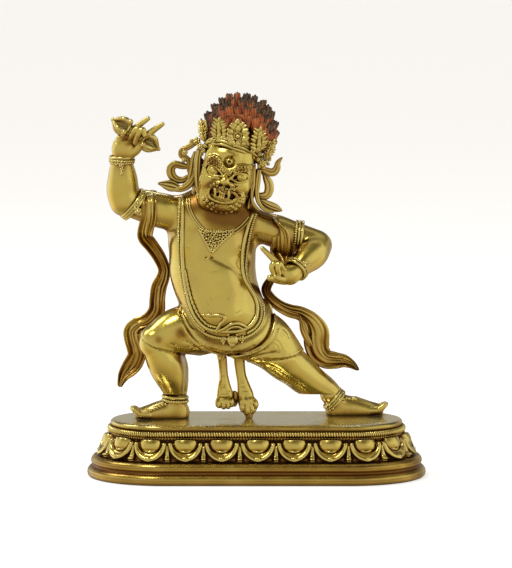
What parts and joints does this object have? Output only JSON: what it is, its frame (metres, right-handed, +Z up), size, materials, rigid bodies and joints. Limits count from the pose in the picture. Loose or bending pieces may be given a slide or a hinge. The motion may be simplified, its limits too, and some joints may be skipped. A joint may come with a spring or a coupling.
{
  "type": "vajrapani statue",
  "caption": "Small gilt figure of a wrathful guardian striding on an oval lotus base, one arm raised with a sceptre, a scarf floating behind.",
  "frame": {"origin": "middle of the flat underside of the lotus base", "axes": "+Z up, +X to the beholder's right, -Y towards the beholder, whom the figure faces"},
  "size_m": [0.2104, 0.0944, 0.2386],
  "materials": {
    "gilt": "burnished gilding on cast copper alloy, darker in the recesses",
    "hair_pigment": "worn red pigment on the hair, matt"
  },
  "bodies": {
    "root": {"figure": "gilt", "lotus_base": "gilt"}
  },
  "joints": []
}
